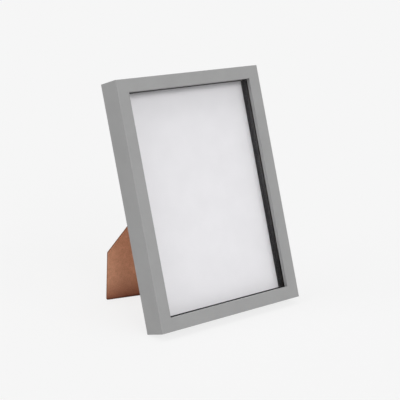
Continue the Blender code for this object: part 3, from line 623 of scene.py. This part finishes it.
def headed_fastener_tree():
    """Rivets, nails and pins: a domed head on a shank, with a clinched, peened or pointed tail.

    Each stands on a point of its seed, with its head towards the back of the frame.
    """
    sizes = ("Head Radius", "Head Height", "Shank Radius", "Shank Length")
    sizes += ("Tail Radius", "Tail Length", "Tip Radius")
    tree, given = new_tree("headed_fastener", sizes=sizes)
    # half a ball, left when a block has taken its lower half away, is stretched to the head's size
    ball = {"Segments": ROUND_SIDES, "Rings": ROUND_SIDES // 2, "Radius": 1.0}
    ball = add_node(tree, "GeometryNodeMeshUVSphere", ball)
    block = add_node(tree, "GeometryNodeMeshCube", {"Size": (4, 4, 2)})
    block = add_node(tree, "GeometryNodeTransform", {"Geometry": block, "Translation": (0, 0, -1)})
    dome = {"Mesh 1": ball, "Mesh 2": block}
    dome = add_node(tree, "GeometryNodeMeshBoolean", dome, operation="DIFFERENCE", solver="EXACT")
    flattened = {"X": given["Head Radius"], "Y": given["Head Radius"], "Z": given["Head Height"]}
    flattened = add_node(tree, "ShaderNodeCombineXYZ", flattened)
    dome = add_node(tree, "GeometryNodeTransform", {"Geometry": dome, "Scale": flattened})
    inside = {0: given["Head Height"], 1: HEAD_OVERLAP}
    inside = add_node(tree, "ShaderNodeMath", inside, operation="MULTIPLY")
    length = add_node(tree, "ShaderNodeMath", {0: given["Shank Length"], 1: inside}, operation="ADD")
    shank = {"Vertices": ROUND_SIDES, "Radius": given["Shank Radius"], "Depth": length}
    shank = add_node(tree, "GeometryNodeMeshCylinder", shank)
    middle = add_node(tree, "ShaderNodeMath", {0: length, 1: -0.5, 2: inside}, operation="MULTIPLY_ADD")
    middle = add_node(tree, "ShaderNodeCombineXYZ", {"Z": middle})
    shank = add_node(tree, "GeometryNodeTransform", {"Geometry": shank, "Translation": middle})
    tail = {"Vertices": ROUND_SIDES, "Depth": given["Tail Length"]}
    tail |= {"Radius Top": given["Tail Radius"], "Radius Bottom": given["Tip Radius"]}
    tail = add_node(tree, "GeometryNodeMeshCone", tail)
    end = {0: given["Shank Length"], 1: given["Tail Length"]}
    end = add_node(tree, "ShaderNodeMath", end, operation="ADD")
    end = add_node(tree, "ShaderNodeMath", {0: end, 1: -1.0}, operation="MULTIPLY")
    end = add_node(tree, "ShaderNodeCombineXYZ", {"Z": end})
    tail = add_node(tree, "GeometryNodeTransform", {"Geometry": tail, "Translation": end})
    parts = {"Mesh": [dome, shank, tail]}
    whole = add_node(tree, "GeometryNodeMeshBoolean", parts, operation="UNION", solver="EXACT")
    whole = {"Geometry": whole, "Rotation": Euler((-math.pi / 2, 0, 0))}
    whole = add_node(tree, "GeometryNodeTransform", whole)
    grown = add_node(tree, "GeometryNodeInstanceOnPoints", {"Points": given["Seed"], "Instance": whole})
    return end_tree(tree, grown, given["Finish"])


def sheet_tab_tree():
    """Flat steel tabs that stand up along Z on their points.

    They are square at the root and round at the far corners.
    """
    tree, given = new_tree("sheet_tab", sizes=("Width", "Root", "Reach", "Corner Radius", "Thickness"))
    length = add_node(tree, "ShaderNodeMath", {0: given["Reach"], 1: given["Root"]}, operation="SUBTRACT")
    plan = {"Width": given["Width"], "Height": length}
    plan = add_node(tree, "GeometryNodeCurvePrimitiveQuadrilateral", plan)
    along = add_node(tree, "GeometryNodeInputPosition")
    along = add_node(tree, "ShaderNodeSeparateXYZ", {0: along}).outputs["Y"]
    far = add_node(tree, "ShaderNodeMath", {0: along, 1: 0.0}, operation="GREATER_THAN")
    far = add_node(tree, "ShaderNodeMath", {0: far, 1: given["Corner Radius"]}, operation="MULTIPLY")
    plan = {"Curve": plan, "Radius": far, "Count": BEND_STEPS}
    plan = add_node(tree, "GeometryNodeFilletCurve", plan, mode="POLY")
    face = add_node(tree, "GeometryNodeFillCurve", {"Curve": plan}, mode="NGONS")
    middle = {0: length, 1: 0.5, 2: given["Root"]}
    middle = add_node(tree, "ShaderNodeMath", middle, operation="MULTIPLY_ADD")
    under = add_node(tree, "ShaderNodeMath", {0: given["Thickness"], 1: -0.5}, operation="MULTIPLY")
    seat = add_node(tree, "ShaderNodeCombineXYZ", {"Y": middle, "Z": under})
    face = add_node(tree, "GeometryNodeTransform", {"Geometry": face, "Translation": seat})
    lift = {"Mesh": face, "Offset": (0, 0, 1), "Offset Scale": given["Thickness"], "Individual": False}
    lift = add_node(tree, "GeometryNodeExtrudeMesh", lift)
    base = add_node(tree, "GeometryNodeFlipFaces", {"Mesh": face})
    tab = add_node(tree, "GeometryNodeJoinGeometry", {"Geometry": [base, lift]})
    tab = add_node(tree, "GeometryNodeMergeByDistance", {"Geometry": tab, "Distance": WELD})
    tab = {"Geometry": tab, "Rotation": Euler((math.pi / 2, 0, 0))}
    tab = add_node(tree, "GeometryNodeTransform", tab)
    turn = {"Name": "turn"}
    turn = add_node(tree, "GeometryNodeInputNamedAttribute", turn, data_type="FLOAT")
    turn = add_node(tree, "ShaderNodeCombineXYZ", {"Y": turn})
    grown = {"Points": given["Seed"], "Instance": tab, "Rotation": turn}
    grown = add_node(tree, "GeometryNodeInstanceOnPoints", grown)
    return end_tree(tree, grown, given["Finish"])


def corner_nail_tree():
    """V-nails: steel strips on edge that follow the bent lines of their seed."""
    tree, given = new_tree("corner_nail", sizes=("Bend Radius", "Thickness", "Height"))
    line = add_node(tree, "GeometryNodeMeshToCurve", {"Mesh": given["Seed"]})
    line = {"Curve": line, "Radius": given["Bend Radius"], "Count": BEND_STEPS}
    line = add_node(tree, "GeometryNodeFilletCurve", line, mode="POLY")
    line = add_node(tree, "GeometryNodeSetCurveNormal", {"Curve": line}, mode="Z_UP")
    section = {"Width": given["Thickness"], "Height": given["Height"]}
    section = add_node(tree, "GeometryNodeCurvePrimitiveQuadrilateral", section)
    strip = {"Curve": line, "Profile Curve": section, "Fill Caps": True}
    strip = add_node(tree, "GeometryNodeCurveToMesh", strip)
    return end_tree(tree, strip, given["Finish"])


def saw_tooth_tree():
    """Cuts a row of teeth into the lower edge of a hanger's strip, and a nail hole near each end."""
    sizes = ("Tooth Pitch", "Tooth Height", "Lower Edge", "Hole Radius", "Hole Spacing", "Cut Depth")
    tree, given = new_tree("saw_tooth", counts=("Tooth Count",), sizes=sizes)
    # a prism whose upper point makes the notch and whose lower half passes below the strip's edge
    prism = {"Vertices": 3, "Radius": 1.0, "Depth": given["Cut Depth"]}
    prism = add_node(tree, "GeometryNodeMeshCylinder", prism)
    prism = {"Geometry": prism, "Rotation": Euler((0, 0, math.pi / 2))}
    prism = add_node(tree, "GeometryNodeTransform", prism)
    wide = {0: given["Tooth Pitch"], 1: 2 / math.sqrt(3)}
    wide = add_node(tree, "ShaderNodeMath", wide, operation="MULTIPLY")
    rise = add_node(tree, "ShaderNodeMath", {0: given["Tooth Height"], 1: 4 / 3}, operation="MULTIPLY")
    stretch = add_node(tree, "ShaderNodeCombineXYZ", {"X": wide, "Y": rise, "Z": 1.0})
    prism = add_node(tree, "GeometryNodeTransform", {"Geometry": prism, "Scale": stretch})
    prism = {"Geometry": prism, "Rotation": Euler((math.pi / 2, 0, 0))}
    prism = add_node(tree, "GeometryNodeTransform", prism)
    level = {0: given["Tooth Height"], 1: -1 / 3, 2: given["Lower Edge"]}
    level = add_node(tree, "ShaderNodeMath", level, operation="MULTIPLY_ADD")
    steps = add_node(tree, "ShaderNodeMath", {0: given["Tooth Count"], 1: -1.0}, operation="ADD")
    start = add_node(tree, "ShaderNodeMath", {0: steps, 1: given["Tooth Pitch"]}, operation="MULTIPLY")
    start = add_node(tree, "ShaderNodeMath", {0: start, 1: -0.5}, operation="MULTIPLY")
    start = add_node(tree, "ShaderNodeCombineXYZ", {"X": start, "Z": level})
    stride = add_node(tree, "ShaderNodeCombineXYZ", {"X": given["Tooth Pitch"]})
    row = {"Count": given["Tooth Count"], "Start Location": start, "Offset": stride}
    row = add_node(tree, "GeometryNodeMeshLine", row, mode="OFFSET")
    notches = add_node(tree, "GeometryNodeInstanceOnPoints", {"Points": row, "Instance": prism})
    notches = add_node(tree, "GeometryNodeRealizeInstances", {0: notches})
    drill = {"Vertices": HOLE_SIDES, "Radius": given["Hole Radius"], "Depth": given["Cut Depth"]}
    drill = add_node(tree, "GeometryNodeMeshCylinder", drill)
    drill = {"Geometry": drill, "Rotation": Euler((math.pi / 2, 0, 0))}
    drill = add_node(tree, "GeometryNodeTransform", drill)
    first = add_node(tree, "ShaderNodeMath", {0: given["Hole Spacing"], 1: -0.5}, operation="MULTIPLY")
    first = add_node(tree, "ShaderNodeCombineXYZ", {"X": first})
    stride = add_node(tree, "ShaderNodeCombineXYZ", {"X": given["Hole Spacing"]})
    pair = {"Count": 2, "Start Location": first, "Offset": stride}
    pair = add_node(tree, "GeometryNodeMeshLine", pair, mode="OFFSET")
    holes = add_node(tree, "GeometryNodeInstanceOnPoints", {"Points": pair, "Instance": drill})
    holes = add_node(tree, "GeometryNodeRealizeInstances", {0: holes})
    cut = {"Mesh 1": given["Seed"], "Mesh 2": notches, "Self Intersection": True}
    toothed = add_node(tree, "GeometryNodeMeshBoolean", cut, operation="DIFFERENCE", solver="EXACT")
    cut = {"Mesh 1": toothed, "Mesh 2": holes}
    drilled = add_node(tree, "GeometryNodeMeshBoolean", cut, operation="DIFFERENCE", solver="EXACT")
    return end_tree(tree, drilled, given["Finish"])


def rounded(corners, steps=5):
    """The points of an outline whose corners, given as (x, y, radius), are turned into arcs."""
    points = []
    for i, (x, y, radius) in enumerate(corners):
        corner = Vector((x, y))
        if radius == 0:
            points.append(corner)
            continue
        before = (Vector(corners[i - 1][:2]) - corner).normalized()
        after = (Vector(corners[(i + 1) % len(corners)][:2]) - corner).normalized()
        half = before.angle(after) / 2
        middle = corner + (before + after).normalized() * (radius / math.sin(half))
        start = corner + before * (radius / math.tan(half)) - middle
        sweep = start.angle_signed(corner + after * (radius / math.tan(half)) - middle)
        points += [middle + Matrix.Rotation(-sweep * step / steps, 2) @ start for step in range(steps + 1)]
    return points


def circle(x, y, radius, steps=ROUND_SIDES):
    turns = [2 * math.pi * i / steps for i in range(steps)]
    return [Vector((x + radius * math.cos(turn), y + radius * math.sin(turn))) for turn in turns]


def stamped(outlines, thickness):
    """A sheet in its XY plane, stamped out along closed outlines. Those inside another are holes."""
    curve = bpy.data.curves.new("outline", "CURVE")
    curve.dimensions = "2D"
    curve.fill_mode = "BOTH"
    curve.extrude = thickness / 2
    for outline in outlines:
        spline = curve.splines.new("POLY")
        spline.points.add(len(outline) - 1)
        for point, place in zip(spline.points, outline):
            point.co = (*place, 0, 1)
        spline.use_cyclic_u = True
    return welded(evaluated(bpy.data.objects.new("outline", curve)))


def roll_knuckles(shape):
    """Rolls what lies below a stamped leaf's line Y = 0 round the pin, and stands the leaf up along Z."""
    middle = LEAF_FACE + LEAF_THICKNESS / 2
    for step in range(int(CURL / CURL_STEP) + 1):
        everything = shape.verts[:] + shape.edges[:] + shape.faces[:]
        line = (0, -step * CURL_STEP * middle, 0)
        bmesh.ops.bisect_plane(shape, geom=everything, plane_co=line, plane_no=(0, 1, 0))
    for point in shape.verts:
        along, out = point.co.y, point.co.z
        turn = max(0.0, -along / middle)
        radius = middle - out
        point.co = (point.co.x, -radius * math.cos(turn), max(along, 0) - radius * math.sin(turn))
    return shape


def leaf_rivets(name, body, place, depth, row, length, nodes):
    """A pair of rivets whose heads sit on a leaf."""
    heads = points_mesh([(side * RIVET_SPREAD / 2, depth, row) for side in (-1, 1)])
    rivets = grow(FASTENER, heads, ZINC, {**RIVET, "Shank Length": length})
    add_piece(name, placed(rivets, place), body, "steel", ZINC, *nodes)


def make_board_leaf():
    """The leaf on the back board: one stamped sheet whose two tabs are rolled round the pin."""
    half = LEAF_WIDTH / 2
    roll_end = -CURL * (LEAF_FACE + LEAF_THICKNESS / 2)
    row = BOARD_LEAF_LENGTH - RIVET_END
    outline = rounded([
        (-half, roll_end, 0),
        (-KNUCKLE_NOTCH, roll_end, 0),
        (-KNUCKLE_NOTCH, STRUT_END, NOTCH_CORNER),
        (KNUCKLE_NOTCH, STRUT_END, NOTCH_CORNER),
        (KNUCKLE_NOTCH, roll_end, 0),
        (half, roll_end, 0),
        (half, BOARD_LEAF_LENGTH, LEAF_CORNER),
        (-half, BOARD_LEAF_LENGTH, LEAF_CORNER),
    ])
    holes = [circle(side * RIVET_SPREAD / 2, row, RIVET_HOLE) for side in (-1, 1)]
    leaf = ease(roll_knuckles(stamped([outline, *holes], LEAF_THICKNESS)), LEAF_EASING)
    add_piece("rolled_board_leaf", placed(leaf, HINGE), "frame", "steel", ZINC, "hinge_board_leaf")
    rivets = ("board_rivet_1", "board_rivet_2")
    leaf_rivets("board_leaf_rivets", "frame", HINGE, -LEAF_FACE, row, BOARD_RIVET_LENGTH, rivets)


def make_strut_leaf():
    """The leaf on the strut: its tongue carries the middle knuckle and runs on as the heel that stops it."""
    half = LEAF_WIDTH / 2
    tongue = CENTRE_KNUCKLE / 2
    far = -STRUT_END - STRUT_LEAF_LENGTH
    row = far + RIVET_END
    outline = rounded([
        (-half, far, LEAF_CORNER),
        (half, far, LEAF_CORNER),
        (half, -STRUT_END, 0),
        (tongue, -STRUT_END, TONGUE_ROOT),
        (tongue, HEEL_LENGTH, TONGUE_CORNER),
        (-tongue, HEEL_LENGTH, TONGUE_CORNER),
        (-tongue, -STRUT_END, TONGUE_ROOT),
        (-half, -STRUT_END, 0),
    ])
    holes = [circle(side * RIVET_SPREAD / 2, row, RIVET_HOLE) for side in (-1, 1)]
    middle = Matrix.Translation((0, LEAF_FACE + LEAF_THICKNESS / 2, 0))
    upright = middle @ Matrix.Rotation(math.pi / 2, 4, "X")
    plate = placed(finish_mesh(stamped([outline, *holes], LEAF_THICKNESS)), upright)
    rings = [circle(0, 0, radius, BARREL_SIDES) for radius in (KNUCKLE_RADIUS, PIN_BORE)]
    barrel = stamped(rings, CENTRE_KNUCKLE)
    barrel = placed(finish_mesh(barrel), Matrix.Rotation(math.pi / 2, 4, "Y"))
    leaf = bpy.data.objects.new("leaf", plate)
    knuckle = bpy.data.objects.new("knuckle", barrel)
    bpy.context.scene.collection.objects.link(knuckle)
    join = leaf.modifiers.new("knuckle", "BOOLEAN")
    join.operation = "UNION"
    join.solver = "EXACT"
    join.object = knuckle
    leaf = ease(welded(evaluated(leaf)), LEAF_EASING)
    bpy.data.objects.remove(knuckle)
    add_piece("stop_strut_leaf", placed(leaf, SWING), "strut", "steel", ZINC, "hinge_strut_leaf")
    rivets = ("strut_rivet_1", "strut_rivet_2")
    face = LEAF_FACE + LEAF_THICKNESS
    leaf_rivets("strut_leaf_rivets", "strut", SWING, face, row, STRUT_RIVET_LENGTH, rivets)


def make_hinge_pin():
    """A pin with one domed and one peened end."""
    half = LEAF_WIDTH / 2 + SEAT_GAP
    pin = grow(FASTENER, points_mesh([(0, half, 0)]), ZINC, {**PIN, "Shank Length": 2 * half})
    across = Matrix.Rotation(-math.pi / 2, 4, "Z")
    add_piece("peened_hinge_pin", placed(pin, HINGE @ across), "frame", "steel", ZINC, "hinge_pin")


def make_steel_points():
    """Eight bendable points, numbered along each side.

    Prong and tongue meet in a round bend on the line that the tongue turns about.
    """
    side, end = CAVITY_SIZE / 2
    rows = {
        "bottom": (0, [(along, POINT_DEPTH, -end) for along in (-POINT_ACROSS, POINT_ACROSS)]),
        "right": (-math.pi / 2, [(side, POINT_DEPTH, along) for along in (-POINT_ALONG, POINT_ALONG)]),
        "top": (math.pi, [(along, POINT_DEPTH, end) for along in (POINT_ACROSS, -POINT_ACROSS)]),
        "left": (math.pi / 2, [(-side, POINT_DEPTH, along) for along in (POINT_ALONG, -POINT_ALONG)]),
    }
    points = []
    for row, (turn, places) in rows.items():
        points += [(f"steel_point_{row}_{n}", place, turn) for n, place in enumerate(places, 1)]
    bend = POINT_THICKNESS / 2
    tab = {"Width": POINT_WIDTH, "Thickness": POINT_THICKNESS}
    prong = {**tab, "Root": POINT_ROOT, "Reach": POINT_BEND + bend, "Corner Radius": 0.0}
    seed = points_mesh([place for _, place, _ in points], [turn for _, _, turn in points])
    prongs = grow(TAB, seed, ZINC, prong, POINT_EASING)
    hidden = [name + "_prong" for name, _, _ in points]
    add_piece("driven_prongs", placed(prongs, STAND), "frame", "steel", ZINC, *hidden)
    tongue = {**tab, "Root": POINT_BEND - bend, "Reach": POINT_REACH, "Corner Radius": POINT_CORNER}
    for name, place, turn in points:
        mesh = grow(TAB, points_mesh([place], [turn]), ZINC, tongue, POINT_EASING)
        add_piece(name + "_tab", placed(mesh, STAND), name, "steel", ZINC, name + "_tongue")


def make_corner_nails():
    """A V-nail across each mitre, with both legs sunk just below the back of the rails."""
    lines = []
    for side_x, side_y in ((-1, -1), (1, -1), (1, 1), (-1, 1)):
        x = side_x * (FRAME_SIZE.x / 2 - V_NAIL_INSET)
        y = side_y * (FRAME_SIZE.y / 2 - V_NAIL_INSET)
        lines += [(x - side_x * V_NAIL_LEG, y, 0), (x, y, 0), (x, y - side_y * V_NAIL_LEG, 0)]
    seed = bpy.data.meshes.new("corner lines")
    seed.from_pydata(lines, [(i, i + 1) for i in range(len(lines) - 1) if i % 3 != 2], [])
    bend = {"Bend Radius": V_NAIL_BEND, "Thickness": V_NAIL_THICKNESS, "Height": V_NAIL_HEIGHT}
    nails = grow(CORNER_NAIL, seed, ZINC, bend, V_NAIL_EASING)
    depth = RAIL_DEPTH - V_NAIL_SINK - V_NAIL_HEIGHT / 2
    upright = Matrix.Translation((0, depth, 0)) @ Matrix.Rotation(math.pi / 2, 4, "X")
    corners = ("lower_left", "lower_right", "upper_right", "upper_left")
    hidden = ["v_nail_" + corner for corner in corners]
    add_piece("driven_v_nails", placed(nails, STAND @ upright), "frame", "steel", ZINC, *hidden)


def hanger_strip():
    """A strip with a flat pad at each end and a raised bridge between them, bent from one sheet."""
    end = HANGER_LENGTH / 2
    pad = end - HANGER_PAD
    bridge = pad - HANGER_RAMP
    low, high, thick = SEAT_GAP, SEAT_GAP + HANGER_RISE, HANGER_THICKNESS
    tight, wide = HANGER_INNER_BEND, HANGER_OUTER_BEND
    outline = rounded([
        (-end, low, 0),
        (-pad, low, wide),
        (-bridge, high, tight),
        (bridge, high, tight),
        (pad, low, wide),
        (end, low, 0),
        (end, low + thick, 0),
        (pad, low + thick, tight),
        (bridge, high + thick, wide),
        (-bridge, high + thick, wide),
        (-pad, low + thick, tight),
        (-end, low + thick, 0),
    ])
    return finish_mesh(stamped([outline], HANGER_WIDTH))


def make_hanger(name, place, turn):
    """A sawtooth hanger with its two nails, on the back of a rail."""
    seat = STAND @ Matrix.Translation(place) @ Matrix.Rotation(turn, 4, "Y")
    spacing = TEETH["Hole Spacing"]
    strip = grow(SAW_TOOTH, hanger_strip(), BRASS, TEETH, HANGER_EASING)
    add_piece(name + "_strip", placed(strip, seat), "frame", "brassed_steel", BRASS, name)
    top = SEAT_GAP + HANGER_THICKNESS
    nails = grow(FASTENER, points_mesh([(-spacing / 2, top, 0), (spacing / 2, top, 0)]), BRASS, NAIL)
    hidden = [f"{name}_nail_{number}" for number in (1, 2)]
    add_piece(name + "_nails", placed(nails, seat), "frame", "brassed_steel", BRASS, *hidden)


FASTENER = headed_fastener_tree()
TAB = sheet_tab_tree()
CORNER_NAIL = corner_nail_tree()
SAW_TOOTH = saw_tooth_tree()
make_rails()
make_sheets()
make_board_leaf()
make_strut_leaf()
make_hinge_pin()
make_steel_points()
make_corner_nails()
make_hanger("portrait_hanger", (0, RAIL_DEPTH, (FRAME_SIZE.y - WALL) / 2), 0)
make_hanger("landscape_hanger", ((FRAME_SIZE.x - WALL) / 2, RAIL_DEPTH, 0), math.pi / 2)


# Studio: a pale floor and backdrop, even light from all round and five soft lamps

BACKDROP = colour("F6F6F6")
SKY = 0.4
FLOOR_ALBEDO = 0.55
FLOOR_TONE = 0.996
FLOOR_GLOW = 0.8
FLOOR_RADIUS = 14
FLOOR_SIDES = 96

# For each softbox: degrees to the right of the front, degrees above it, degrees across, and strength
SOFTBOXES = {
    "left_softbox": (-100, 35, 40, 0.342),
    "top_softbox": (0, 88, 40, 0.303),
    "front_left_softbox": (-20, 26, 20, 0.25),
    "front_softbox": (-5, 42, 20, 0.072),
    "front_right_softbox": (15, 33, 20, 0.144),
}

# The camera's lens and sensor in millimetres, its place in metres and its turns
CAMERA_LENS = 103.587
CAMERA_SENSOR = 36
CAMERA_PLACE = (-0.938755, -1.164320, 0.524262)
CAMERA_HEADING = math.radians(-39.2906)
CAMERA_PITCH = math.radians(90 - 14.1502)
CAMERA_ROLL = math.radians(0.2633)


def seen_directly(tree):
    """1 for rays that see the backdrop's tone: the camera's, and those that metal or glass sends on."""
    path = add_node(tree, "ShaderNodeLightPath").outputs
    seen = {0: path["Is Camera Ray"], 1: path["Is Glossy Ray"]}
    seen = add_node(tree, "ShaderNodeMath", seen, operation="MAXIMUM")
    return add_node(tree, "ShaderNodeMath", {0: seen, 1: path["Is Transmission Ray"]}, operation="MAXIMUM")


def make_floor():
    """A seamless sheet that lights the frame from below.

    Seen directly it is pale, with a soft thin shadow.
    """
    shape = bmesh.new()
    bmesh.ops.create_circle(shape, cap_ends=True, segments=FLOOR_SIDES, radius=FLOOR_RADIUS)
    mesh = bpy.data.meshes.new("studio_floor")
    shape.to_mesh(mesh)
    shape.free()
    made, tree = new_material("seamless_paper")
    paper = {"Color": (FLOOR_ALBEDO, FLOOR_ALBEDO, FLOOR_ALBEDO, 1)}
    paper = add_node(tree, "ShaderNodeBsdfDiffuse", paper)
    glow = add_node(tree, "ShaderNodeEmission", {"Color": (1, 1, 1, 1), "Strength": FLOOR_TONE})
    share = add_node(tree, "ShaderNodeMath", {0: seen_directly(tree), 1: FLOOR_GLOW}, operation="MULTIPLY")
    surface = add_node(tree, "ShaderNodeMixShader", {0: share, 1: paper, 2: glow})
    add_node(tree, "ShaderNodeOutputMaterial", {"Surface": surface})
    mesh.materials.append(made)
    floor = bpy.data.objects.new("studio_floor", mesh)
    bpy.context.scene.collection.objects.link(floor)


def make_sky():
    """Even light from all round, behind which the camera sees the backdrop's plain tone."""
    world = bpy.data.worlds.new("studio")
    world.use_nodes = True
    tree = world.node_tree
    tree.nodes.clear()
    light = add_node(tree, "ShaderNodeBackground", {"Color": (1, 1, 1, 1), "Strength": SKY})
    backdrop = add_node(tree, "ShaderNodeBackground", {"Color": BACKDROP, "Strength": 1.0})
    sky = add_node(tree, "ShaderNodeMixShader", {0: seen_directly(tree), 1: light, 2: backdrop})
    add_node(tree, "ShaderNodeOutputWorld", {"Surface": sky})
    bpy.context.scene.world = world


def make_softbox(name, azimuth, height, width, strength):
    """A soft light, the same all over the scene, from so many degrees right of the front and above it."""
    lamp = bpy.data.lights.new(name, "SUN")
    lamp.energy = strength * math.pi
    lamp.angle = math.radians(width)
    made = bpy.data.objects.new(name, lamp)
    made.rotation_euler = (math.radians(90 - height), 0, math.radians(azimuth))
    bpy.context.scene.collection.objects.link(made)


def make_camera():
    """The photograph's view: a long lens, to the left of the frame and a little above it."""
    camera = bpy.data.cameras.new("camera")
    camera.lens = CAMERA_LENS
    camera.sensor_width = CAMERA_SENSOR
    made = bpy.data.objects.new("camera", camera)
    heading = Matrix.Rotation(CAMERA_HEADING, 4, "Z")
    pitch = Matrix.Rotation(CAMERA_PITCH, 4, "X")
    roll = Matrix.Rotation(CAMERA_ROLL, 4, "Z")
    made.matrix_world = Matrix.Translation(CAMERA_PLACE) @ heading @ pitch @ roll
    bpy.context.scene.collection.objects.link(made)
    bpy.context.scene.camera = made


make_floor()
make_sky()
for softbox, settings in SOFTBOXES.items():
    make_softbox(softbox, *settings)
make_camera()
bpy.context.scene.view_settings.view_transform = "Standard"
